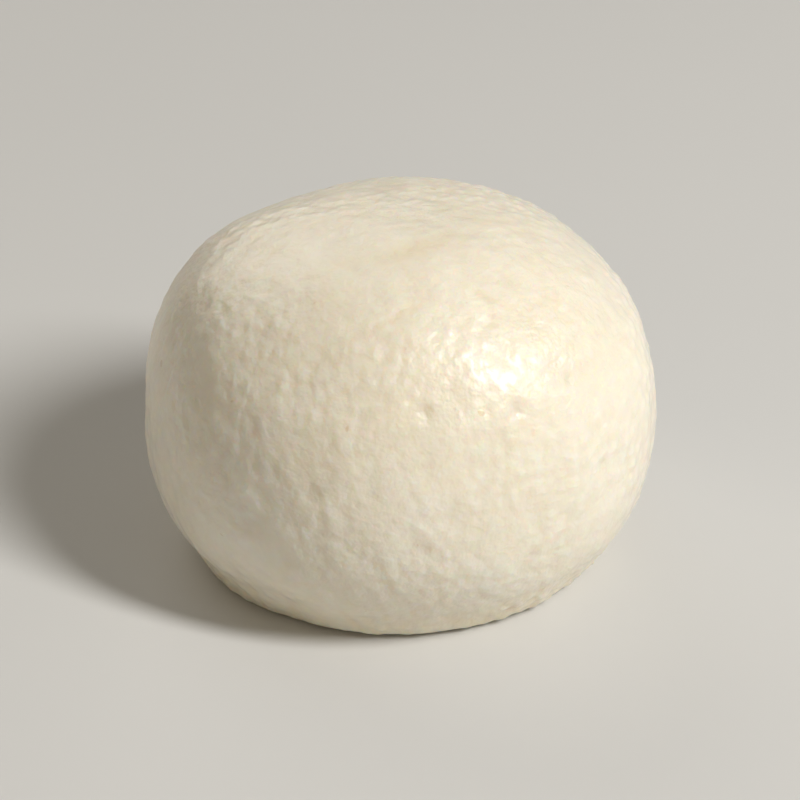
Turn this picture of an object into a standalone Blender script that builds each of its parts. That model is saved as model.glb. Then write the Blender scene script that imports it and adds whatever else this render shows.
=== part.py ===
"""A rice wine steamed bun, resting on its flat base: one closed solid of risen dough.

The dough rises as a full, blunt dome from a waist that bulges over the base. Soft flats are
pressed into its top and two of its sides, its skin sinks into shallow hollows, and the lowest
few millimetres spread into a foot. All sizes are in metres, with +Z up and the origin at the
middle of the base, on the surface that the bun stands on.
"""

import math

import bmesh
import bpy
import numpy as np

MM = 0.001

# Driving sizes of the whole bun.
BUN_LENGTH = 100 * MM  # along X
BUN_WIDTH = 95 * MM  # along Y
BUN_HEIGHT = 70 * MM

# The dough's own form, worked out from the driving sizes.
WAIST_HEIGHT = 0.37 * BUN_HEIGHT  # the level where the dough is widest
DOME_RISE = BUN_HEIGHT - WAIST_HEIGHT
UNDER_DEPTH = 0.57 * BUN_HEIGHT  # how deep the under side would reach if nothing held it up
SHOULDER_POWER = 2.4  # 2 is an ellipsoid, and more is blunter
UNDER_POWER = 2.0
BLEND_POWER = 14.0  # how crisply a pressed flat meets the round of the dome

# The foot, the lowest few millimetres, which spread where the dough rests.
BASE_FILLET = 2.6 * MM  # half the height over which the side turns under
FOOT_SPREAD = 0.9 * MM
FOOT_HEIGHT = 3.6 * MM
FOOT_MEAN = 0.75  # the mean share of the spread, which varies round the rim
FOOT_WAVES = ((2, 0.25, 0.6), (5, 0.12, 1.9))  # waves round the rim, share and phase
FOOT_INNER_RADIUS = 0.3 * BUN_WIDTH  # inside this the spread fades to nothing at the axis
CREASE_DEPTH = 0.45 * MM  # the soft crease just above the foot
CREASE_HEIGHT = 8.0 * MM
CREASE_REACH = 4.0 * MM

# Soft flats pressed into the dough: (azimuth, elevation) in degrees, and the flat's distance
# from the middle of the waist as a share of the dough's own reach that way. The blend is
# so soft that a share of 1.05 still presses the dough in by a millimetre or two.
PRESSED_FACES = {
    "top": (150, 80, 1.02),
    "left_side": (204, 14, 1.06),
    "back_side": (72, 6, 1.05),
}

# Soft hollows (-) and swellings (+) of the skin: azimuth, elevation and radius in degrees,
# and depth or height.
SOFT_FORMS = {
    "front_left_hollow": (238, 36, 16, -0.6 * MM),
    "front_left_swelling": (252, 10, 24, 0.5 * MM),
    "front_right_hollow": (304, 50, 13, -0.45 * MM),
    "front_right_swelling": (326, 26, 20, 0.5 * MM),
    "right_hollow": (10, 46, 15, -0.5 * MM),
    "back_hollow": (118, 40, 16, -0.6 * MM),
    "back_left_swelling": (160, 34, 20, 0.6 * MM),
    "back_right_hollow": (44, 22, 16, -0.5 * MM),
}

# The lip round the pressed top, as an arc on the dome about the top face's own direction.
LIP_RADIUS = 30  # degrees
LIP_WIDTH = 7  # degrees
LIP_HEIGHT = 0.35 * MM
LIP_MIDDLE = 290  # azimuth of the middle of the arc, in degrees
LIP_SPAN = 60  # degrees to each side, over which it fades

FACES_PER_SIDE = 31  # grid faces across each side of the cube that becomes the skin
RIM_CROWDING = 0.085  # how much the grid's rows gather towards the rim of the base
RIM_CROWDING_SHIFT = 0.12  # moves that gathering from halfway between pole and waist to the rim
SHORTEST_LEVEL = 1e-9  # keeps a direction that points straight down from dividing by zero

SKIN_COLOUR = (0.84, 0.77, 0.63, 1.0)
SKIN_ROUGHNESS = 0.42


def towards(azimuth, elevation):
    """The unit vector at these angles, in degrees; azimuth 0 is +X and 90 is +Y."""
    turn, rise = math.radians(azimuth), math.radians(elevation)
    return np.array([math.cos(turn) * math.cos(rise), math.sin(turn) * math.cos(rise), math.sin(rise)])


def angle_from(directions, centre):
    """The angle in degrees between each direction and a centre direction."""
    return np.degrees(np.arccos(np.clip(directions @ centre, -1.0, 1.0)))


def risen_reach(directions):
    """How far the free dough reaches each way: a blunt dome above the waist, an ellipsoid under it."""
    across = np.hypot(directions[:, 0] / (BUN_LENGTH / 2), directions[:, 1] / (BUN_WIDTH / 2))
    up = directions[:, 2]
    power = np.where(up > 0, SHOULDER_POWER, UNDER_POWER)
    tall = np.where(up > 0, DOME_RISE, UNDER_DEPTH)
    return (across**power + (np.abs(up) / tall) ** power) ** (-1 / power)


def pressed_reach(directions):
    """The dough's reach once the flats have been pressed into it, softly blended."""
    crowding = risen_reach(directions) ** -BLEND_POWER
    for azimuth, elevation, share in PRESSED_FACES.values():
        normal = towards(azimuth, elevation)
        distance = share * risen_reach(normal[None, :])[0]
        crowding += (np.clip(directions @ normal, 0, None) / distance) ** BLEND_POWER
    return crowding ** (-1 / BLEND_POWER)


def soft_relief(directions):
    """The skin's broad hollows and swellings, and the lip round the pressed top."""
    relief = np.zeros(len(directions))
    for azimuth, elevation, radius, height in SOFT_FORMS.values():
        relief += height * np.exp(-((angle_from(directions, towards(azimuth, elevation)) / radius) ** 2))
    top_azimuth, top_elevation, _ = PRESSED_FACES["top"]
    off_top = angle_from(directions, towards(top_azimuth, top_elevation))
    azimuths = np.degrees(np.arctan2(directions[:, 1], directions[:, 0]))
    off_middle = (azimuths - LIP_MIDDLE + 180) % 360 - 180
    arc = np.exp(-((off_middle / LIP_SPAN) ** 2))
    return relief + LIP_HEIGHT * arc * np.exp(-(((off_top - LIP_RADIUS) / LIP_WIDTH) ** 2))


def fitted_to_size(points):
    """Points about the middle of the waist, scaled so that the dome has the driving sizes."""
    low, high = points.min(axis=0), points.max(axis=0)
    middle = (low + high) / 2
    points[:, 0] = (points[:, 0] - middle[0]) * BUN_LENGTH / (high[0] - low[0])
    points[:, 1] = (points[:, 1] - middle[1]) * BUN_WIDTH / (high[1] - low[1])
    points[:, 2] *= DOME_RISE / high[2]
    return points


def spread_foot(points):
    """Moves the lowest part of the side outwards into a foot, under a soft crease."""
    height = np.clip(points[:, 2], 0, None)
    azimuths = np.arctan2(points[:, 1], points[:, 0])
    waves = [share * np.sin(count * azimuths + phase) for count, share, phase in FOOT_WAVES]
    unevenness = FOOT_MEAN + sum(waves)
    foot = FOOT_SPREAD * np.exp(-((height / FOOT_HEIGHT) ** 2))
    crease = CREASE_DEPTH * np.exp(-(((height - CREASE_HEIGHT) / CREASE_REACH) ** 2))
    radius = np.hypot(points[:, 0], points[:, 1])
    beside_axis = np.clip(radius / FOOT_INNER_RADIUS, 0, 1)
    moved = 1 + beside_axis * unevenness * (foot - crease) / np.maximum(radius, MM)
    points[:, :2] *= moved[:, None]
    return points


def set_down(points):
    """Turns the side under with a fillet and lays everything below it flat on the surface."""
    z = points[:, 2]
    overlap = np.clip(BASE_FILLET - np.abs(z), 0, None)
    points[:, 2] = np.maximum(z, 0) + overlap**2 / (4 * BASE_FILLET)
    return points


def bun_points(directions):
    """The point of the bun's skin for each unit direction from the middle of the waist."""
    reach = pressed_reach(directions) + soft_relief(directions)
    points = fitted_to_size(directions * reach[:, None])
    points[:, 2] += WAIST_HEIGHT
    return set_down(spread_foot(points))


def evenly_spread(cube_points):
    """Unit directions through a cube's surface grid, in steps of nearly equal angle."""
    warped = np.tan(cube_points * math.pi / 4)
    return warped / np.linalg.norm(warped, axis=1)[:, None]


def gathered_at_rim(directions):
    """The same directions, those under the waist moved up or down so that more lie near the rim."""
    up = directions[:, 2]
    share = np.arccos(np.clip(-up, 0, 1)) / (math.pi / 2)
    start = math.sin(2 * math.pi * RIM_CROWDING_SHIFT)
    moved = share + RIM_CROWDING * (np.sin(2 * math.pi * (share - RIM_CROWDING_SHIFT)) + start)
    fall = moved * math.pi / 2
    level = np.maximum(np.hypot(directions[:, 0], directions[:, 1]), SHORTEST_LEVEL)
    lowered = np.column_stack([directions[:, :2] * (np.sin(fall) / level)[:, None], -np.cos(fall)])
    return np.where((up < 0)[:, None], lowered, directions)


def bun_mesh():
    """A gridded cube wrapped round the bun, so that no part of the skin has a pole."""
    grid = bmesh.new()
    bmesh.ops.create_cube(grid, size=2)
    bmesh.ops.subdivide_edges(grid, edges=grid.edges[:], cuts=FACES_PER_SIDE - 1, use_grid_fill=True)
    cube_points = np.array([vertex.co[:] for vertex in grid.verts])
    for vertex, point in zip(grid.verts, bun_points(gathered_at_rim(evenly_spread(cube_points)))):
        vertex.co = point
    bmesh.ops.triangulate(grid, faces=grid.faces[:], quad_method="SHORT_EDGE")
    bmesh.ops.recalc_face_normals(grid, faces=grid.faces[:])
    mesh = bpy.data.meshes.new("bun")
    grid.to_mesh(mesh)
    grid.free()
    mesh.shade_smooth()
    return mesh


def skin_material():
    """Smooth, faintly moist steamed skin: warm cream, with no browning."""
    material = bpy.data.materials.new("steamed_skin")
    material.use_nodes = True
    shader = material.node_tree.nodes["Principled BSDF"]
    shader.inputs["Base Color"].default_value = SKIN_COLOUR
    shader.inputs["Roughness"].default_value = SKIN_ROUGHNESS
    shader.inputs["Metallic"].default_value = 0.0
    return material


def clear_scene():
    for thing in list(bpy.data.objects):
        bpy.data.objects.remove(thing)


def main():
    clear_scene()
    bun = bpy.data.objects.new("bun", bun_mesh())
    bun.data.materials.append(skin_material())
    bpy.context.scene.collection.objects.link(bun)


main()
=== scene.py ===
# %% [markdown]
# A rice wine steamed bun
#
# Bread dough raised with fermented rice, shaped into a ball, and steamed until its skin sets
# white and faintly moist. There is one piece to make, and nearly all of its character is in
# the skin: a full blunt dome, soft presses and hollows, shallow dimples, a few burst bubbles,
# ripples where the dough stretched as it rose, and a foot that spread on the steaming cloth.
#
# The lesson works from large to small. The whole form comes first, then relief of about a
# centimetre, then of a millimetre, and last the colour and the gloss. It starts by loading
# the packed model, which fixes the size and the place of everything that follows.

# %% Load the frame
import itertools
import math

import bpy
import numpy as np
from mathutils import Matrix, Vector


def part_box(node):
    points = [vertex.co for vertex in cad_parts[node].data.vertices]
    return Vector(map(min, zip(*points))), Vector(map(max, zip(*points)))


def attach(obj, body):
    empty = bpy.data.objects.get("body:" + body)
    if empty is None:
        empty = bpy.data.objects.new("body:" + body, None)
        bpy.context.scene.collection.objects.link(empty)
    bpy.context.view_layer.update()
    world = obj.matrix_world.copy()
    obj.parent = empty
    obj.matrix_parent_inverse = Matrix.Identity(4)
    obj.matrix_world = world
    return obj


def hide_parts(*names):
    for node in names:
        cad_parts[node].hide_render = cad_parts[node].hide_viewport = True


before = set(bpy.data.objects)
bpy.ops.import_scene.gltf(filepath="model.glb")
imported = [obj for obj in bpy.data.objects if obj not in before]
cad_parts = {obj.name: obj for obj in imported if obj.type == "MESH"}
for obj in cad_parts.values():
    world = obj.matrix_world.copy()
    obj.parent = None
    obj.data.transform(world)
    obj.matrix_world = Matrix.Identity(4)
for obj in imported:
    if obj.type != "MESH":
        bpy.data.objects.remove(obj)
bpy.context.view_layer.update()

NODE = "bun"
LOW, HIGH = (np.array(corner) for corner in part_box(NODE))
LENGTH, WIDTH, HEIGHT = HIGH - LOW
MM = 0.001

# %% [markdown]
# A ball without poles
#
# A bun has no natural seam, so its surface wants a grid that treats all sides alike. A globe's
# grid of meridians bunches up at both ends, and the top of the bun, which everyone looks at,
# would then show a star of thin triangles. An ico sphere avoids that, but its points have no
# rows and columns to work with. Here six square patches are wrapped round a ball instead. On
# each patch a point is named by two parameters, and a tangent keeps the steps even in angle.
#
# The patches share their edge points. Each point is a whole-number place on the surface of a
# cube before it is wrapped, so equal places can be found exactly and merged, and the mesh is
# closed with no tolerance to choose.

# %% Six patches wrapped round a ball
STEPS = 127  # squares along each side of a patch


def grid_squares(steps):
    """The squares of a grid of steps + 1 points each way, as four point numbers in turn."""
    index = np.arange((steps + 1) ** 2).reshape(steps + 1, steps + 1)
    corners = [index[:-1, :-1], index[1:, :-1], index[1:, 1:], index[:-1, 1:]]
    return np.stack(corners, axis=-1).reshape(-1, 4)


def cube_lattice(steps):
    """Whole-number points on a cube's surface, and its squares, with shared points merged.

    Each patch is the grid (i, j) for i and j from 0 to steps, at one end of the third axis.
    """
    i, j = np.meshgrid(np.arange(steps + 1), np.arange(steps + 1), indexing="ij")
    places, squares = [], []
    for axis, end in itertools.product(range(3), (0, steps)):
        patch = np.empty((steps + 1, steps + 1, 3), int)
        patch[..., axis] = end
        patch[..., (axis + 1) % 3] = i
        patch[..., (axis + 2) % 3] = j
        squares.append(len(places) * i.size + grid_squares(steps)[:, :: 1 if end else -1])
        places.append(patch.reshape(-1, 3))
    points, shared = np.unique(np.concatenate(places), axis=0, return_inverse=True)
    return points, shared.reshape(-1)[np.concatenate(squares)]


def evenly_spread(lattice, steps):
    """Each cube coordinate c, from -1 to 1, becomes the tangent of c times 45 degrees, and
    each point is then brought to length one."""
    warped = np.tan((2 * lattice / steps - 1) * math.pi / 4)
    return warped / np.linalg.norm(warped, axis=1)[:, None]


lattice, squares = cube_lattice(STEPS)
directions = evenly_spread(lattice, STEPS)
print(len(lattice), "points and", 2 * len(squares), "triangles")

# %% [markdown]
# More points at the rim
#
# Below its widest level the dough turns in towards the base and ends in a soft rim. That turn
# is the sharpest one on the bun, and the flat underneath it needs few points. So the rows of
# the lower half slide towards the rim. The slide is one sine wave along the way from the pole
# to the waist, which leaves both ends where they are.

# %% Rows gathered towards the rim
RIM_CROWDING = 0.085
RIM_CROWDING_SHIFT = 0.12  # moves the gathering from halfway up to the rim
SHORTEST_LEVEL = 1e-9  # keeps a direction that points straight down from dividing by zero


def gathered_at_rim(directions):
    """Below the waist, the share of the way up from the pole gains crowding times the sine of
    a full turn times (share - shift), less that sine's value at the pole."""
    up = directions[:, 2]
    share = np.arccos(np.clip(-up, 0, 1)) / (math.pi / 2)
    start = math.sin(2 * math.pi * RIM_CROWDING_SHIFT)
    moved = share + RIM_CROWDING * (np.sin(2 * math.pi * (share - RIM_CROWDING_SHIFT)) + start)
    fall = moved * math.pi / 2
    level = np.maximum(np.hypot(directions[:, 0], directions[:, 1]), SHORTEST_LEVEL)
    lowered = np.column_stack([directions[:, :2] * (np.sin(fall) / level)[:, None], -np.cos(fall)])
    return np.where((up < 0)[:, None], lowered, directions)


def elevations(directions):
    """Each direction's angle above the level, in degrees."""
    return np.degrees(np.arctan2(directions[:, 2], np.hypot(directions[:, 0], directions[:, 1])))


gathered = gathered_at_rim(directions)
slide = elevations(gathered) - elevations(directions)
directions = gathered
print("rows slide by", round(slide.min(), 1), "to", round(slide.max(), 1), "degrees")

# %% [markdown]
# The risen form
#
# Proved dough is blunter than a ball: it fills its skin, bulges over its own base, and is
# widest about a third of the way up. A superellipsoid says that in three lengths and one
# power. Above the waist the power is 2.4, which squares the shoulder a little, and below it
# the power is 2, so the side curves in under the bulge.
#
# While it is hot it is also soft, and it keeps the flats that were pressed into it. A flat is
# a plane at some distance along its own direction, and a smooth minimum joins it to the
# round: add high powers of the inverse distances and take the root. The same sum takes any
# number of planes, and none of them leaves an edge.

# %% The free dough and its pressed faces
WAIST_HEIGHT = 0.37 * HEIGHT
DOME_RISE = HEIGHT - WAIST_HEIGHT
UNDER_DEPTH = 0.57 * HEIGHT
SHOULDER_POWER = 2.4
UNDER_POWER = 2.0
BLEND_POWER = 14.0  # how crisply a pressed flat meets the round of the dome
PRESSED_FACES = {  # azimuth and elevation in degrees, and distance as a share of the reach
    "top": (150, 80, 1.02),
    "left_side": (204, 14, 1.06),
    "back_side": (72, 6, 1.05),
}


def towards(azimuth, elevation):
    """The unit vector at these angles, in degrees; azimuth 0 is +X and 90 is +Y."""
    turn, rise = math.radians(azimuth), math.radians(elevation)
    return np.array([math.cos(turn) * math.cos(rise), math.sin(turn) * math.cos(rise), math.sin(rise)])


def risen_reach(directions):
    """Superellipsoid: the level part over the half widths and the upright part over the rise,
    each to the power p, are added, and the reach is their sum to the power -1/p."""
    across = np.hypot(directions[:, 0] / (LENGTH / 2), directions[:, 1] / (WIDTH / 2))
    up = directions[:, 2]
    power = np.where(up > 0, SHOULDER_POWER, UNDER_POWER)
    tall = np.where(up > 0, DOME_RISE, UNDER_DEPTH)
    return (across**power + (np.abs(up) / tall) ** power) ** (-1 / power)


def pressed_reach(directions):
    """Smooth minimum of the free reach and each plane's: the inverse distances, each to the
    power k, are added, and the reach is their sum to the power -1/k."""
    crowding = risen_reach(directions) ** -BLEND_POWER
    for azimuth, elevation, share in PRESSED_FACES.values():
        normal = towards(azimuth, elevation)
        distance = share * risen_reach(normal[None, :])[0]
        crowding += (np.clip(directions @ normal, 0, None) / distance) ** BLEND_POWER
    return crowding ** (-1 / BLEND_POWER)


reach = pressed_reach(directions)
print("reach from", round(reach.min() / MM, 1), "to", round(reach.max() / MM, 1), "mm")

# %% [markdown]
# Hollows and swellings
#
# Between the presses the skin rises and sinks by half a millimetre or so over a few
# centimetres, because the gas inside is never spread evenly. Each of these is a bell curve in
# angle about its own direction, which is easy to place and fades to nothing by itself.
# One low lip runs along the near edge of the flattened top, a bell curve about an arc.

# %% Soft forms of the skin
SOFT_FORMS = {  # azimuth, elevation and radius in degrees, and height in metres
    "front_left_hollow": (238, 36, 16, -0.6 * MM),
    "front_left_swelling": (252, 10, 24, 0.5 * MM),
    "front_right_hollow": (304, 50, 13, -0.45 * MM),
    "front_right_swelling": (326, 26, 20, 0.5 * MM),
    "right_hollow": (10, 46, 15, -0.5 * MM),
    "back_hollow": (118, 40, 16, -0.6 * MM),
    "back_left_swelling": (160, 34, 20, 0.6 * MM),
    "back_right_hollow": (44, 22, 16, -0.5 * MM),
}
LIP_RADIUS = 30  # degrees from the middle of the flattened top
LIP_WIDTH = 7  # degrees
LIP_HEIGHT = 0.35 * MM
LIP_MIDDLE = 290  # azimuth of the middle of the arc, in degrees
LIP_SPAN = 60  # degrees to each side, over which it fades


def angle_from(directions, centre):
    """The angle in degrees between each direction and a centre direction."""
    return np.degrees(np.arccos(np.clip(directions @ centre, -1.0, 1.0)))


def lip_arc(directions):
    """How far each direction is from the top's middle, in degrees, and its share of the arc,
    a bell curve in azimuth about the arc's middle."""
    top_azimuth, top_elevation, _ = PRESSED_FACES["top"]
    off_top = angle_from(directions, towards(top_azimuth, top_elevation))
    azimuths = np.degrees(np.arctan2(directions[:, 1], directions[:, 0]))
    off_middle = (azimuths - LIP_MIDDLE + 180) % 360 - 180
    return off_top, np.exp(-((off_middle / LIP_SPAN) ** 2))


def soft_relief(directions):
    """Each soft form adds its height times exp(-r^2), where r is the angle over its radius, and
    the lip adds the same in the angle from its circle, times its share of the arc."""
    relief = np.zeros(len(directions))
    for azimuth, elevation, radius, height in SOFT_FORMS.values():
        relief += height * np.exp(-((angle_from(directions, towards(azimuth, elevation)) / radius) ** 2))
    off_top, arc = lip_arc(directions)
    return relief + LIP_HEIGHT * arc * np.exp(-(((off_top - LIP_RADIUS) / LIP_WIDTH) ** 2))


hollows = soft_relief(directions)
reach = reach + hollows
print("hollows and swellings from", round(hollows.min() / MM, 2), "to", round(hollows.max() / MM, 2), "mm")

# %% [markdown]
# Fitting the form to its size
#
# The presses and hollows change the overall size a little, so the form is scaled back to the
# frame's box. It is measured about the middle of the waist, where the directions start, and
# then lifted so that the base comes to the ground.

# %% Places on the smooth form
def fitted_to_size(points):
    """Scales each level axis to the bun's length and width, and the height to the dome's rise."""
    low, high = points.min(axis=0), points.max(axis=0)
    middle = (low + high) / 2
    level = (points[:, :2] - middle[:2]) * np.array([LENGTH, WIDTH]) / (high - low)[:2]
    return np.column_stack([level, points[:, 2] * DOME_RISE / high[2]])


risen = fitted_to_size(directions * reach[:, None])
risen[:, 2] += WAIST_HEIGHT
print("the dome rises to", round(risen[:, 2].max() / MM, 1), "mm")

# %% [markdown]
# The foot
#
# The lowest few millimetres sat on a damp cloth, which held them while the rest swelled, so
# they spread into a low foot with a soft crease above it. Both are bell curves in height that
# move points outwards or inwards from the upright axis. Two slow waves round the rim keep the
# foot from looking turned on a lathe.

# %% A spread foot under a soft crease
FOOT_SPREAD, FOOT_HEIGHT = 0.9 * MM, 3.6 * MM
FOOT_MEAN = 0.75  # the mean share of the spread
FOOT_WAVES = ((2, 0.25, 0.6), (5, 0.12, 1.9))  # waves round the rim, share and phase
FOOT_INNER_RADIUS = 0.3 * WIDTH  # inside this the spread fades to nothing at the axis
CREASE_DEPTH, CREASE_HEIGHT, CREASE_REACH = 0.45 * MM, 8.0 * MM, 4.0 * MM


def spread_foot(points):
    """The radius gains the unevenness times two bell curves in height: the foot's, about the
    ground, less the crease's, about its own height."""
    rise = np.clip(points[:, 2], 0, None)
    azimuths = np.arctan2(points[:, 1], points[:, 0])
    waves = [share * np.sin(count * azimuths + phase) for count, share, phase in FOOT_WAVES]
    unevenness = sum(waves, FOOT_MEAN)
    foot = FOOT_SPREAD * np.exp(-((rise / FOOT_HEIGHT) ** 2))
    crease = CREASE_DEPTH * np.exp(-(((rise - CREASE_HEIGHT) / CREASE_REACH) ** 2))
    radius = np.hypot(points[:, 0], points[:, 1])
    beside_axis = np.clip(radius / FOOT_INNER_RADIUS, 0, 1)
    moved = 1 + beside_axis * unevenness * (foot - crease) / np.maximum(radius, MM)
    return np.column_stack([points[:, :2] * moved[:, None], points[:, 2]])


smooth = spread_foot(risen)
widened = np.hypot(smooth[:, 0], smooth[:, 1]) - np.hypot(risen[:, 0], risen[:, 1])
print("the foot spreads by up to", round(widened.max() / MM, 2), "mm")

# %% [markdown]
# Smooth noise for the skin
#
# Dough never repeats, so its relief comes from noise. Blender's own texture could displace a
# mesh too, but then the relief wouldn't be known as numbers, and the colour of the hollows
# could not follow it. So the classic gradient noise is worked out here: a lattice of cubes has
# a random slope at each corner, and a point blends the eight slopes round it. Stretching the
# points before they are looked up stretches the pattern.

# %% Gradient noise on whole arrays
LATTICE = 64  # cubes along each side before the pattern repeats
NOISE_GAIN = 1.5  # brings the highest and lowest values near 1 and -1


def noise(points, cell, seed):
    """Random slopes at a lattice's corners, each times the way from its corner, blended by the
    quintic 6t^5 - 15t^4 + 10t^3. The result is between about -1 and 1."""
    slopes = np.random.default_rng(seed).normal(size=(LATTICE, LATTICE, LATTICE, 3))
    slopes /= np.linalg.norm(slopes, axis=-1, keepdims=True)
    corner = np.floor(points / cell)
    within = points / cell - corner
    blend = within**3 * (within * (within * 6 - 15) + 10)
    total = np.zeros(len(points))
    for offset in itertools.product((0, 1), repeat=3):
        x, y, z = ((corner + offset).astype(int) % LATTICE).T
        weight = np.prod(np.where(offset, blend, 1 - blend), axis=1)
        total += weight * np.einsum("ij,ij->i", slopes[x, y, z], within - offset)
    return total * NOISE_GAIN


sample = noise(smooth, 7 * MM, seed=1)
print("noise from", round(sample.min(), 2), "to", round(sample.max(), 2))

# %% [markdown]
# Swells and dimples
#
# Steam sets the skin while the crumb under it still moves, so the surface is never quite
# even. There are slow swells of about two centimetres, and shallow dimples of seven and of
# four millimetres. Each is one octave of noise with its own height, and a slope of a few
# degrees is enough to bend the shine.

# %% Swells and dimples
OCTAVES = (  # height, cell size and seed
    (0.36 * MM, 19 * MM, 1),
    (0.20 * MM, 7.5 * MM, 2),
    (0.13 * MM, 3.8 * MM, 3),
)

relief = sum(height * noise(smooth, cell, seed) for height, cell, seed in OCTAVES)
print("swells and dimples from", round(relief.min() / MM, 2), "to", round(relief.max() / MM, 2), "mm")

# %% [markdown]
# Orange peel
#
# Gas cells just under the skin push it up into countless low bumps about two millimetres
# across, round on top, with narrower valleys between them. They break the shine into sparkles.
# Noise can't do that, because its hills and valleys are alike. So each cube of a lattice gets
# one centre at random, and a bump's height falls with the distance to the nearest centre. A
# plain nearest distance would leave knife-sharp valleys, and a soft minimum, the logarithm of
# a sum of exponentials, rounds them. The bumps are stronger in some patches than in others, and
# on the right side, where the skin dried first.

# %% Low bumps with narrow valleys
PEEL, PEEL_CELL = 0.20 * MM, 2.4 * MM
PEEL_LEAN = 0.7  # how much more of it there is for each length of the bun to the right
PEEL_REACH = 0.3  # cells, the spread of distances that makes the full height
VALLEY_SHARPNESS = 7.0
CENTRE_FROM, CENTRE_TO = 0.1, 0.9  # where in its cube a centre may lie, as shares of the side


def nearest_centre(points, cell, seed):
    """Soft minimum of the distances, in cells, to the 27 jittered centres round a point: minus
    the logarithm of the sum of exp(-s * distance), over s."""
    size = (LATTICE, LATTICE, LATTICE, 3)
    jitter = np.random.default_rng(seed).uniform(CENTRE_FROM, CENTRE_TO, size)
    corner = np.floor(points / cell)
    total = np.zeros(len(points))
    for offset in itertools.product((-1, 0, 1), repeat=3):
        centre = corner + offset
        x, y, z = (centre.astype(int) % LATTICE).T
        away = np.linalg.norm(points / cell - centre - jitter[x, y, z], axis=1)
        total += np.exp(-VALLEY_SHARPNESS * away)
    return -np.log(total) / VALLEY_SHARPNESS


def patchy(points, cell, seed, mean, swing, limits=(0.0, 1.0)):
    """A strength that varies in patches: mean plus swing times noise, held within limits."""
    return np.clip(mean + swing * noise(points, cell, seed), *limits)


def orange_peel(points):
    """The height is the strength times the mean distance less the distance, over the reach."""
    strength = patchy(points, 15 * MM, seed=4, mean=0.65, swing=0.9, limits=(0.3, 1.1))
    strength = strength * (1 + PEEL_LEAN * points[:, 0] / LENGTH)
    away = nearest_centre(points, PEEL_CELL, seed=21)
    return PEEL * strength * (away.mean() - away) / PEEL_REACH


peel = orange_peel(smooth)
relief += peel
print("orange peel from", round(peel.min() / MM, 3), "to", round(peel.max() / MM, 3), "mm")

# %% [markdown]
# Ripples from rising
#
# As the dough swells upwards its skin stretches, and fine ripples form along the pull. On the
# sides they run up and a little round. Turning each point about the axis by an angle that
# grows with its height, and squeezing the height before the look-up, draws the noise out into
# slanting streaks. They fade towards the crown, where nothing pulls one way.

# %% Slanting ripples on the sides
RIPPLE, RIPPLE_CELL = 0.15 * MM, 2.4 * MM
RIPPLE_STRETCH = 0.24  # how much of its height a point keeps in the look-up
RIPPLE_TWIST = 9.0  # radians a metre of height
RIPPLE_TOP, RIPPLE_FADE = 0.86 * HEIGHT, 0.35 * HEIGHT  # where they end, and over what height


def rising_ripples(points):
    """Noise looked up at (x, y) turned by twist times z, with z squeezed, times a strength that
    fades above the shoulder and varies in patches."""
    turn = RIPPLE_TWIST * points[:, 2]
    drawn_out = np.column_stack([
        points[:, 0] * np.cos(turn) - points[:, 1] * np.sin(turn),
        points[:, 0] * np.sin(turn) + points[:, 1] * np.cos(turn),
        points[:, 2] * RIPPLE_STRETCH,
    ])
    on_side = np.clip((RIPPLE_TOP - points[:, 2]) / RIPPLE_FADE, 0, 1)
    strength = patchy(points, 24 * MM, seed=6, mean=0.45, swing=1.4)
    return RIPPLE * on_side * strength * noise(drawn_out, RIPPLE_CELL, seed=5)


ripples = rising_ripples(smooth)
relief += ripples
print("ripples up to", round(ripples.max() / MM, 2), "mm high")

# %% [markdown]
# Burst bubbles and blisters
#
# Gas bubbles near the skin either burst, and leave a shallow crater with a faint raised rim, or
# stay shut as a low blister. A loose line of burst ones crosses the side that faces the
# camera, so those have places of their own. The rest are drawn at random from a fixed seed.
# One formula serves both: the profile (a - b r^2) exp(-r^2) has a bowl in the middle and a rim
# round it, and with its sign turned round and no rim it is a blister.

# %% Craters and blisters
SEEN_CRATERS = (  # azimuth and elevation in degrees, radius and depth in metres
    (251, 14, 2.5 * MM, 0.50 * MM),
    (264, 15, 1.6 * MM, 0.34 * MM),
    (277, 33, 1.9 * MM, 0.42 * MM),
    (299, 30, 1.6 * MM, 0.36 * MM),
    (316, 32, 1.8 * MM, 0.36 * MM),
    (321, 11, 1.5 * MM, 0.30 * MM),
)
SEEN_RIM = 0.45  # how much of a rim these craters have
CRATER_RIM = 0.4
CRATERS = {"count": 46, "radii": (0.7, 1.4), "heights": (0.05, 0.2)}  # in millimetres
BLISTERS = {"count": 38, "radii": (0.8, 1.9), "heights": (0.03, 0.1)}  # in millimetres
LOWEST_SPOT = -0.35  # the sine of the lowest elevation that has any
draw = np.random.default_rng(11)


def spots(count, radii, heights):
    """Rows of azimuth, elevation, radius and height. An even draw of the elevation's sine
    spreads them evenly over the skin."""
    azimuths = draw.uniform(0, 360, count)
    elevations = np.degrees(np.arcsin(draw.uniform(LOWEST_SPOT, 1.0, count)))
    return np.column_stack([
        azimuths, elevations, draw.uniform(*radii, count) * MM, draw.uniform(*heights, count) * MM,
    ])


def spot_relief(points, directions, rows, rim):
    """Each spot adds its height times (1 - rim r^2) times exp(-r^2), where r is the distance
    from its middle over its radius."""
    total = np.zeros(len(points))
    for azimuth, elevation, radius, height in rows:
        middle = points[np.argmax(directions @ towards(azimuth, elevation))]
        squared = np.sum((points - middle) ** 2, axis=1) / radius**2
        total += height * (1 - rim * squared) * np.exp(-squared)
    return total


craters = spot_relief(smooth, directions, SEEN_CRATERS, SEEN_RIM)
craters += spot_relief(smooth, directions, spots(**CRATERS), CRATER_RIM)
blisters = spot_relief(smooth, directions, spots(**BLISTERS), 0.0)
relief += blisters - craters
print("the deepest crater is", round(craters.max() / MM, 2), "mm, and the highest blister",
      round(blisters.max() / MM, 2), "mm")

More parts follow.
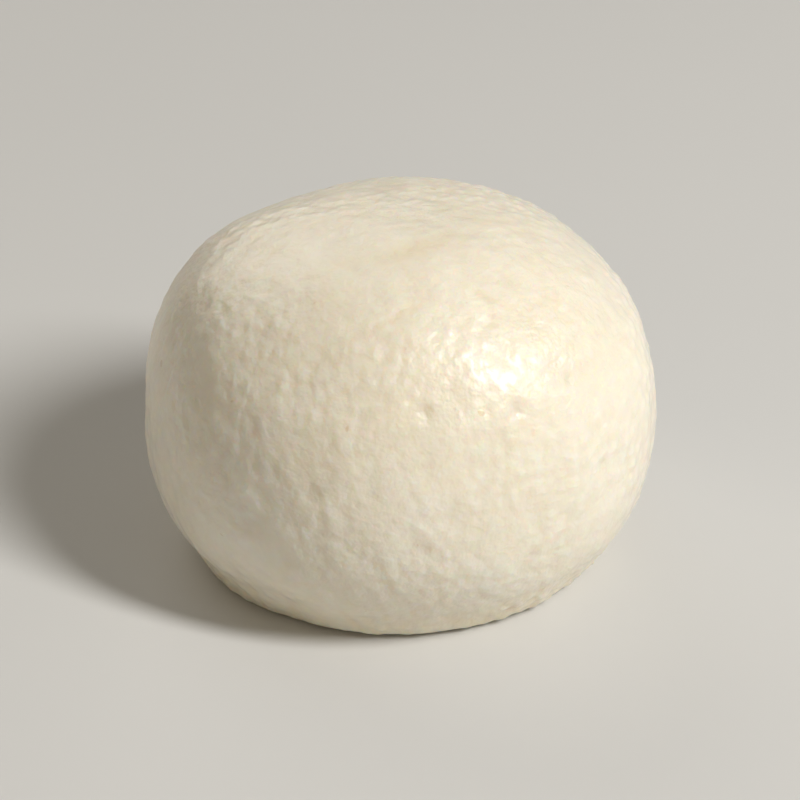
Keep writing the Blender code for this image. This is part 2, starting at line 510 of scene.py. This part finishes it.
# %% [markdown]
# Creases at the crown
#
# The flat at the crown ends in a soft lip. Just inside it the skin has folded into a shallow
# crescent, with a few short wrinkles that cross it. The crescent is a bell curve across the
# lip's arc, and a wrinkle is the same across a short line: near the line it sinks, and it
# fades at both ends.

# %% A crescent and its wrinkles
CRESCENT_INSIDE, CRESCENT_WIDTH = 6.5, 3.0  # degrees inside the lip's circle, and degrees wide
CRESCENT_DEPTH = 0.22 * MM
CROWN_WRINKLES = 13
WRINKLE_SCATTER = 34  # degrees of azimuth about the arc's middle
WRINKLE_LEVELS = (50, 58)  # elevations of their middles, in degrees
WRINKLE_LEAN = 7  # degrees of azimuth
WRINKLE_HALVES = (3, 6)  # how far each end is above or below the middle, in degrees
WRINKLE_WIDTHS, WRINKLE_DEPTHS = (0.6, 0.9), (0.05, 0.13)  # in millimetres


def line_dent(points, start, end, width, depth):
    """The depth times exp(-r^2), where r is the distance from the line over the width, times
    1 - u^4, where u runs along the line from -1 to 1."""
    along = end - start
    share = np.clip((points - start) @ along / (along @ along), 0, 1)
    off = np.linalg.norm(points - start - share[:, None] * along, axis=1)
    return depth * np.exp(-((off / width) ** 2)) * (1 - (2 * share - 1) ** 4)


def crown_creases(points, directions):
    """The depth times the arc's share squared times a bell curve across the crescent, and a
    line dent for each wrinkle, along a line that leans a little from the top's middle."""
    off_top, arc = lip_arc(directions)
    across = (off_top - LIP_RADIUS + CRESCENT_INSIDE) / CRESCENT_WIDTH
    total = CRESCENT_DEPTH * arc**2 * np.exp(-(across**2))
    for _ in range(CROWN_WRINKLES):
        azimuth = LIP_MIDDLE + draw.normal(0, WRINKLE_SCATTER)
        elevation = draw.uniform(*WRINKLE_LEVELS)
        lean = draw.normal(0, WRINKLE_LEAN)
        ends = []
        for side in (-1, 1):
            end = towards(azimuth + side * lean, elevation + side * draw.uniform(*WRINKLE_HALVES))
            ends.append(points[np.argmax(directions @ end)])
        width, depth = draw.uniform(*WRINKLE_WIDTHS) * MM, draw.uniform(*WRINKLE_DEPTHS) * MM
        total += line_dent(points, *ends, width, depth)
    return total


creases = crown_creases(smooth, directions)
relief -= creases
print("creases up to", round(creases.max() / MM, 2), "mm deep")

# %% [markdown]
# Gathers above the foot
#
# Round the foot the skin is caught between the cloth and the bulge, and puckers into short
# upright gathers. They are the same line dents, set at uneven steps round the rim and leaning
# a little, each from just above the cloth up into the crease.

# %% Short upright gathers
GATHERS = 64
GATHER_SCATTER = 3.2  # degrees of azimuth that a gather is off its even step
GATHER_LEAN = 1.8  # degrees of azimuth
GATHER_LOWER, GATHER_UPPER = (0.5, 3), (5, 12)  # heights of the two ends, in millimetres
GATHER_WIDTHS, GATHER_DEPTHS = (0.55, 1.1), (0.04, 0.2)  # in millimetres
SIDE_FROM, SIDE_TO = 1 * MM, 13 * MM  # heights between which the side is searched
OUTWARD_PULL = 0.4  # how much being further out counts against being at the wrong height


def foot_gathers(points):
    """Line dents up the side at uneven azimuths. An end lies on the side's point with the least
    height difference less the pull times how far out it is."""
    side = points[(points[:, 2] > SIDE_FROM) & (points[:, 2] < SIDE_TO)]
    off_step = draw.normal(0, GATHER_SCATTER, GATHERS)
    azimuths = np.sort(np.linspace(0, 360, GATHERS, endpoint=False) + off_step)
    total = np.zeros(len(points))
    for azimuth in azimuths:
        lower, upper = draw.uniform(*GATHER_LOWER) * MM, draw.uniform(*GATHER_UPPER) * MM
        lean = draw.normal(0, GATHER_LEAN)
        ends = []
        for turned, rise in ((azimuth - lean, lower), (azimuth + lean, upper)):
            distance = np.abs(side[:, 2] - rise) - OUTWARD_PULL * (side @ towards(turned, 0))
            ends.append(side[np.argmin(distance)])
        width, depth = draw.uniform(*GATHER_WIDTHS) * MM, draw.uniform(*GATHER_DEPTHS) * MM
        total += line_dent(points, *ends, width, depth)
    return total


gathers = foot_gathers(smooth)
relief -= gathers
print(GATHERS, "gathers up to", round(gathers.max() / MM, 2), "mm deep")

# %% [markdown]
# Moving the skin along its normals
#
# The relief so far is a height at each point. A point moves by it along its own normal, the
# way out of the dough. The two diagonals of a square cross in a vector that points straight
# out and is twice the square's area long, so adding those of the squares round a point gives
# its normal, with larger squares counting for more.

# %% Normals, and the displaced skin
def outward(points, squares):
    """Unit normals: for each square a, b, c, d the cross product of c - a and d - b is added at
    its four points, and the sum is brought to length one."""
    a, b, c, d = (points[squares[:, corner]] for corner in range(4))
    crossed = np.cross(c - a, d - b)
    total = np.column_stack([
        sum(np.bincount(squares[:, corner], crossed[:, axis], len(points)) for corner in range(4))
        for axis in range(3)
    ])
    return total / np.linalg.norm(total, axis=1)[:, None]


normals = outward(smooth, squares)
outwards_share = np.mean(np.einsum("ij,ij->i", normals, directions) > 0)
displaced = smooth + normals * relief[:, None]
print("normals that point out of the dough:", round(100 * outwards_share, 1), "%")

# %% [markdown]
# Setting it down
#
# Everything that would hang below the ground is pressed flat onto it, with a small round where
# the side turns under: max(z, 0) plus a parabola within a few millimetres of the ground. The
# underside then gets the print of the damp cloth's folds. They can only go up into the dough,
# because the flat itself is what the bun stands on.

# %% The flat base and the cloth's folds
BASE_FILLET = 2.6 * MM
FOLD, FOLD_CELL = 0.35 * MM, 14 * MM
FOLD_WIDTH = 0.07  # in noise, so a fold is narrow where the noise is steep
FOLD_STRETCH = np.array([[0.42, 0.2, 0], [-0.55, 1.1, 0], [0, 0, 1]])  # draws folds out one way
PUCKER = 0.25  # the share of a fold's height that the cloth rises between folds
FOLD_MARGIN = 3 * MM  # how deep under the ground a point was before it takes the full print


def set_down(points):
    """The larger of z and 0, and within k of the ground (k - |z|)^2 / 4k more."""
    z = points[:, 2]
    overlap = np.clip(BASE_FILLET - np.abs(z), 0, None)
    lifted = np.maximum(z, 0) + overlap**2 / (4 * BASE_FILLET)
    return np.column_stack([points[:, :2], lifted])


def cloth_folds(points, depth_below):
    """Ridges where stretched noise crosses zero, exp(-(noise / width)^2), in patches, plus a
    little puckering, on the flat only."""
    flat = points * np.array([1, 1, 0])
    ridge = np.exp(-((noise(flat @ FOLD_STRETCH, FOLD_CELL, seed=8) / FOLD_WIDTH) ** 2))
    ridge *= patchy(flat, 18 * MM, seed=9, mean=0.4, swing=1.8)
    puckers = PUCKER * np.clip(noise(flat, 5 * MM, seed=10), 0, 1)
    on_flat = np.clip((depth_below - BASE_FILLET) / FOLD_MARGIN, 0, 1)
    return FOLD * on_flat * (ridge + puckers)


skin = set_down(displaced)
folds = cloth_folds(skin, -displaced[:, 2])
skin[:, 2] += folds
low, high = skin.min(axis=0), skin.max(axis=0)
skin = LOW + (skin - low) * (HIGH - LOW) / (high - low)
print("the skin spans", np.round((skin.max(axis=0) - skin.min(axis=0)) / MM, 2), "mm")

# %% [markdown]
# Into a mesh
#
# The arrays go into the mesh in one call each. Three marks of every point go with them as
# attributes from 0 to 1, because the colour paints shade by them: how creased the skin is, how
# deep in a burst bubble, and how low between its small bumps, whose tops are painted lighter.
# The piece stands for the plain node of the frame, moves with its body, and takes its finish
# from its slot.

# %% The bun's mesh
def new_piece(name, points, faces):
    """A mesh object at the origin, its places in its points, smooth all over."""
    mesh = bpy.data.meshes.new(name)
    mesh.from_pydata(points.tolist(), [], faces.tolist())
    mesh.shade_smooth()
    piece = bpy.data.objects.new(name, mesh)
    bpy.context.scene.collection.objects.link(piece)
    return piece


CREASED_DEPTH = 0.22 * MM  # the depth that counts as fully creased
FOLD_SHARE = 0.5  # how much of a fold's height counts as a crease
PIT_DEPTH = 0.32 * MM  # the depth that counts as a full pit
VALLEY_RANGE = 0.32 * MM  # from the highest bump to the deepest valley of the fine relief
fine_height, fine_cell, fine_seed = OCTAVES[-1]
fine_relief = fine_height * noise(smooth, fine_cell, fine_seed) + peel + ripples
# The creased, pitted and valley marks steer painted shade in the colour, and painted light on the bump tops.
marks = {
    "creased": np.clip((creases + gathers + FOLD_SHARE * folds) / CREASED_DEPTH, 0, 1),
    "pitted": np.clip(craters / PIT_DEPTH, 0, 1),
    "valley": np.clip(0.5 - fine_relief / VALLEY_RANGE, 0, 1),
}
bun = new_piece("risen_bun", skin, squares)
for name, values in marks.items():
    bun.data.attributes.new(name, "FLOAT", "POINT").data.foreach_set("value", values)
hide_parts(NODE)
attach(bun, "root")
print(bun.name, "has", 2 * len(bun.data.polygons), "triangles")
print("valleys:", marks["valley"].mean().round(2), "on average, spread", marks["valley"].std().round(2))

# %% [markdown]
# Shader sums as plain expressions
#
# A finish is a tree of nodes, and most of its nodes are sums. Written out by hand, each one
# takes three lines and hides what it works out. So a small class wraps an output socket and
# gives it the usual operators: `1 - mask * 0.3` then adds the Math nodes by itself.

# %% A wire
class Wire:
    """An output socket on which + - and * add Math nodes, also with a number in front."""

    def __init__(self, finish, socket):
        self.finish = finish
        self.socket = socket

    def maths(self, operation, first, second):
        """Adds one Math node, whose two inputs are wires or numbers."""
        return self.finish.node("ShaderNodeMath", {"operation": operation}, {0: first, 1: second})

    def __add__(self, other):
        return self.maths("ADD", self, other)

    def __radd__(self, other):
        return self.maths("ADD", other, self)

    def __sub__(self, other):
        return self.maths("SUBTRACT", self, other)

    def __rsub__(self, other):
        return self.maths("SUBTRACT", other, self)

    def __mul__(self, other):
        return self.maths("MULTIPLY", self, other)

    def __rmul__(self, other):
        return self.maths("MULTIPLY", other, self)

    def from_to(self, lower, upper):
        """This value from lower to upper moved to 0 to 1, and held there outside them."""
        return self.finish.node("ShaderNodeMapRange", {"clamp": True}, {0: self, 1: lower, 2: upper})


reflected = [name for name in vars(Wire) if name.startswith("__r")]
print("a wire has", len(reflected), "operators that also take a number in front")

# %% [markdown]
# One method for every other node
#
# A finish holds the nodes of one material. All nodes that aren't sums come from one method, which
# takes the node's type, its settings, such as a Math node's operation, and the values or links
# of its sockets. Settings come first, because some of them decide which sockets there are.
# Mixing two colours and looking up noise are so frequent that each has a short name.

# %% A finish
class Finish:
    """The node tree of one material, built round its Principled shader."""

    def __init__(self, name):
        self.material = bpy.data.materials.new(name)
        self.material.use_nodes = True
        self.tree = self.material.node_tree
        self.shader = self.tree.nodes["Principled BSDF"]

    def fill(self, node, inputs):
        """Links each wired input of a node, and sets each plain one. A key is a name or a place."""
        for key, value in inputs.items():
            if isinstance(key, int):
                socket = node.inputs[key]
            else:
                socket = next(s for s in node.inputs if s.name == key and s.enabled)
            if isinstance(value, Wire):
                self.tree.links.new(value.socket, socket)
            else:
                socket.default_value = value

    def node(self, kind, settings=None, inputs=None, output=None):
        """Adds a node of this type with its settings first, and wires its first or named output."""
        node = self.tree.nodes.new(kind)
        for name, value in (settings or {}).items():
            setattr(node, name, value)
        self.fill(node, inputs or {})
        return Wire(self, next(s for s in node.outputs if s.enabled and output in (None, s.name)))

    def mix(self, factor, first, second):
        """Two colours mixed by a factor."""
        return self.node("ShaderNodeMix", {"data_type": "RGBA"}, {"Factor": factor, "A": first, "B": second})

    def grain(self, place, size, detail=1.0):
        """Noise from 0 to 1 with features of about this size in metres."""
        inputs = {"Vector": place, "Scale": 1 / size, "Detail": detail}
        return self.node("ShaderNodeTexNoise", inputs=inputs, output="Fac")


steamed = Finish("steamed_skin")
place = steamed.node("ShaderNodeTexCoord", output="Object")
above_ground = steamed.node("ShaderNodeSeparateXYZ", inputs={"Vector": place}, output="Z")
print("the steamed skin starts with", len(steamed.tree.nodes), "nodes")

# %% [markdown]
# The colour of steamed skin
#
# It isn't white. Flour leaves a warm cream, a touch whiter where the skin is thick and dry. It
# is warmer and darker towards the foot and underneath. Creases and burst bubbles are painted
# darker, as painted shade, and so are the valleys between the small bumps, whose tops are painted
# a little lighter. Rice wine dough also shows a very faint tan speck here and there. One colour is
# mixed over another by slow noise, by the marks and by height, all on Object coordinates, so they
# stay put on the piece. The number beside a mask is how much of the new colour shows where the
# mask is full. Those numbers are small, because a stronger mix makes dough look like stone. A
# speck is a peak of the noise that rises above almost all of the others, which is why there are
# so few.

# %% Cream, whiter patches, a warmer foot, and painted shade in the hollows
CREAM = (0.875, 0.813, 0.685, 1.0)
PALE = (0.915, 0.872, 0.78, 1.0)
# Warmer, darker tone towards the ground, and painted shade in creases.
FOOT_TONE_AND_CREASE_SHADE = (0.80, 0.68, 0.44, 1.0)
SHADED_PIT = (0.74, 0.69, 0.54, 1.0)
# Painted shade for the valleys between the small bumps, and the tone of the random freckles.
VALLEY_SHADE_AND_FRECKLES = (0.72, 0.645, 0.47, 1.0)
TAN = (0.62, 0.44, 0.22, 1.0)
WARM_HEIGHT = 24 * MM  # the height at which the warmth from the ground is gone

creased, pitted, valley = (
    steamed.node("ShaderNodeAttribute", {"attribute_name": mark}, output="Fac") for mark in marks
)
patches = steamed.grain(place, 22 * MM, 3.0).from_to(0.35, 0.65)
mottle = steamed.grain(place, 3.5 * MM, 2.0).from_to(0.3, 0.7)
freckles = steamed.grain(place, 1.4 * MM, 1.5).from_to(0.35, 0.65)
near_ground = 1 - above_ground.from_to(0.0, WARM_HEIGHT)
# Random whiter patches and mottle, and painted light that makes the tops of the small bumps paler.
colour = steamed.mix(patches * 0.5 + mottle * 0.1 + (1 - valley) * 0.2, CREAM, PALE)
# Painted shade in the valleys between the small bumps, and random freckles.
colour = steamed.mix(valley * 0.12 + freckles * 0.05, colour, VALLEY_SHADE_AND_FRECKLES)
# Warmer and darker towards the ground.
colour = steamed.mix(near_ground * near_ground * 0.45, colour, FOOT_TONE_AND_CREASE_SHADE)
# Painted shade: darker and warmer in creases, gathers and the prints of cloth folds, and darker in burst
# bubbles.
colour = steamed.mix(creased * 0.4, colour, FOOT_TONE_AND_CREASE_SHADE)
colour = steamed.mix(pitted * 0.35, colour, SHADED_PIT)
specks = steamed.grain(place, 2.1 * MM, 0.0).from_to(0.845, 0.87)
colour = steamed.mix(specks * 0.3, colour, TAN)
steamed.fill(steamed.shader, {"Base Color": colour})
print("with its colour it has", len(steamed.tree.nodes), "nodes")

# %% [markdown]
# Gloss, moisture and depth
#
# Steam leaves a thin moist film. It shows as a satin sheen with a sharper glint inside it, and
# it is patchy, because parts of the skin have dried. Roughness carries the satin and a coat
# carries the film, whose amount varies. Underneath, where the cloth was, there is no film.
#
# The dough is also slightly translucent: light enters, wanders a few millimetres through wet
# starch and comes out warmer. Subsurface scattering does that, and its numbers are the same
# all over, so they are set straight on the shader.

# %% Satin skin over translucent dough
dryness = steamed.grain(place, 14 * MM, 2.0).from_to(0.35, 0.7)
underneath = 1 - above_ground.from_to(0.3 * MM, 3 * MM)
steamed.fill(steamed.shader, {
    "Roughness": 0.35 + dryness * 0.12 + mottle * 0.05 + underneath * 0.18,
    "Coat Weight": (0.5 - dryness * 0.27) * (1 - underneath),
    "Coat Roughness": 0.15,
    "Coat IOR": 1.36,
    "IOR": 1.46,
    "Subsurface Weight": 1.0,
    "Subsurface Radius": (1.0, 0.7, 0.42),
    "Subsurface Scale": 4.5 * MM,
})
print("with its gloss it has", len(steamed.tree.nodes), "nodes")

# %% [markdown]
# Pores too small for the mesh
#
# The mesh's points are about six tenths of a millimetre apart, so it can't hold anything much
# under two millimetres, and that is left to a bump. The Bump node's distance is 1, so its height
# is in metres, and a pattern times 0.26 mm rises that much where it is at its strongest. There is
# a grain of short marks that breaks up the shine, a finer one in it, round pores, and on the
# underside the weave of the steaming cloth.

# %% Fine grain, pores and the cloth's weave
WEAVE_LEAN = 0.12  # how far the cloth's threads lean from the axes, as a slope


def weave(finish, place, pitch):
    """The print of plain cloth: sin(x) * sin(y) along the two leaning directions of thread."""
    across = finish.node("ShaderNodeSeparateXYZ", inputs={"Vector": place}, output="X")
    along = finish.node("ShaderNodeSeparateXYZ", inputs={"Vector": place}, output="Y")
    turn = 2 * math.pi / pitch
    warp, weft = (
        finish.node("ShaderNodeMath", {"operation": "SINE"}, {0: direction * turn})
        for direction in (across + along * WEAVE_LEAN, along - across * WEAVE_LEAN)
    )
    return warp * weft


fine = steamed.grain(place, 1.3 * MM, 1.0) * 0.26 * MM
finer = steamed.grain(place, 0.4 * MM, 1.0) * 0.035 * MM
pore_centres = {"Vector": place, "Scale": 1 / (1.7 * MM)}
pore_distance = steamed.node("ShaderNodeTexVoronoi", inputs=pore_centres, output="Distance")
pores = (1 - pore_distance.from_to(0.0, 0.16)) * 0.035 * MM
print_of_cloth = weave(steamed, place, 1.15 * MM) * underneath * 0.03 * MM
heights = fine + finer - pores + print_of_cloth
bump = steamed.node(
    "ShaderNodeBump", inputs={"Strength": 1.0, "Distance": 1.0, "Height": heights}, output="Normal"
)
steamed.fill(steamed.shader, {"Normal": bump})
bun.data.materials.append(steamed.material)
print("finished, it has", len(steamed.tree.nodes), "nodes")

# %% [markdown]
# A pale floor
#
# The bun stands alone on a plain pale floor, wide enough to fill every view. It is one square
# patch, gently matt, with a trace of unevenness in its tone so that it doesn't look like paper.

# %% The floor
FLOOR_HALF = 4.0
FLOOR_STEPS = 8
FLOOR_PATCHES = 0.25  # metres across a patch of tone
FLOOR_DARKER = (0.635, 0.64, 0.645, 1.0)
FLOOR_LIGHTER = (0.675, 0.68, 0.685, 1.0)

ticks = np.linspace(-FLOOR_HALF, FLOOR_HALF, FLOOR_STEPS + 1)
across, along = np.meshgrid(ticks, ticks, indexing="ij")
floor_points = np.stack([across, along, 0 * across], axis=-1).reshape(-1, 3)
floor = new_piece("floor", floor_points, grid_squares(FLOOR_STEPS))
floor_finish = Finish("pale_floor")
floor_place = floor_finish.node("ShaderNodeTexCoord", output="Object")
floor_tone = floor_finish.grain(floor_place, FLOOR_PATCHES, 2.0)
floor_finish.fill(floor_finish.shader, {
    "Base Color": floor_finish.mix(floor_tone, FLOOR_DARKER, FLOOR_LIGHTER),
    "Roughness": 0.75,
})
floor.data.materials.append(floor_finish.material)
print("floor", 2 * FLOOR_HALF, "m wide")

# %% [markdown]
# Light from the upper right
#
# The bun is lit by one bright source high on the right, in front of it, and by a weak open
# sky. A point lamp would leave a hard shadow, and a broad one a dull shine. A tall oval soft box
# at arm's length and more is in between: the shadow has a soft edge, and the highlight on the
# upper right is drawn out and breaks into glints. Two large faint lamps stand for what a pale
# room sends back, a warm one on the left that keeps the shaded side creamy and one behind. The
# world stands for the sky.

# %% Key, fill, back and sky
LAMPS = {  # azimuth and elevation in degrees, distance, width and height in metres, watts, colour
    "key": (-30, 45, 1.6, 0.26, 0.7, 23, (1.0, 0.972, 0.92)),
    "fill": (-150, 35, 1.8, 1.6, 1.6, 2.3, (1.0, 0.80, 0.50)),
    "back": (118, 30, 1.8, 1.5, 1.5, 7.2, (1.0, 0.95, 0.86)),
}
SKY_COLOUR = (1.0, 0.93, 0.80, 1.0)
SKY_STRENGTH = 0.155


def area_lamp(name, azimuth, elevation, distance, width, height, watts, colour):
    """An oval lamp, this wide and high, that looks at the middle of the bun's base."""
    lamp = bpy.data.lights.new(name, "AREA")
    lamp.shape = "ELLIPSE"
    lamp.size = width
    lamp.size_y = height
    lamp.energy = watts
    lamp.color = colour
    stand = bpy.data.objects.new(name, lamp)
    stand.location = Vector(towards(azimuth, elevation)) * distance
    stand.rotation_euler = stand.location.to_track_quat("Z", "Y").to_euler()
    bpy.context.scene.collection.objects.link(stand)


for name, values in LAMPS.items():
    area_lamp(name, *values)
sky = bpy.data.worlds.new("sky")
sky.use_nodes = True
sky.node_tree.nodes["Background"].inputs["Color"].default_value = SKY_COLOUR
sky.node_tree.nodes["Background"].inputs["Strength"].default_value = SKY_STRENGTH
bpy.context.scene.world = sky
bpy.context.scene.view_settings.view_transform = "Standard"
print(len(LAMPS), "lamps and a sky")

# %% [markdown]
# The camera
#
# It looks down at thirty-odd degrees from an arm's length, as someone would who reaches for
# the bun. The bun is small, so from there it spans only about ten degrees, and the long lens
# follows from how much of the frame it should fill.

# %% A view from arm's length
CAMERA_ELEVATION = 32
CAMERA_DISTANCE = 0.55
SHARE_OF_FRAME = 0.64
AIM_HEIGHT = 0.43 * HEIGHT
SENSOR = 36.0  # millimetres

camera = bpy.data.cameras.new("camera")
camera.sensor_width = SENSOR
camera.lens = SENSOR * CAMERA_DISTANCE * SHARE_OF_FRAME / LENGTH
aim = Vector((0, 0, AIM_HEIGHT))
tripod = bpy.data.objects.new("camera", camera)
tripod.location = aim + Vector(towards(-90, CAMERA_ELEVATION)) * CAMERA_DISTANCE
tripod.rotation_euler = (tripod.location - aim).to_track_quat("Z", "Y").to_euler()
bpy.context.scene.collection.objects.link(tripod)
bpy.context.scene.camera = tripod
print("lens", round(camera.lens), "mm")
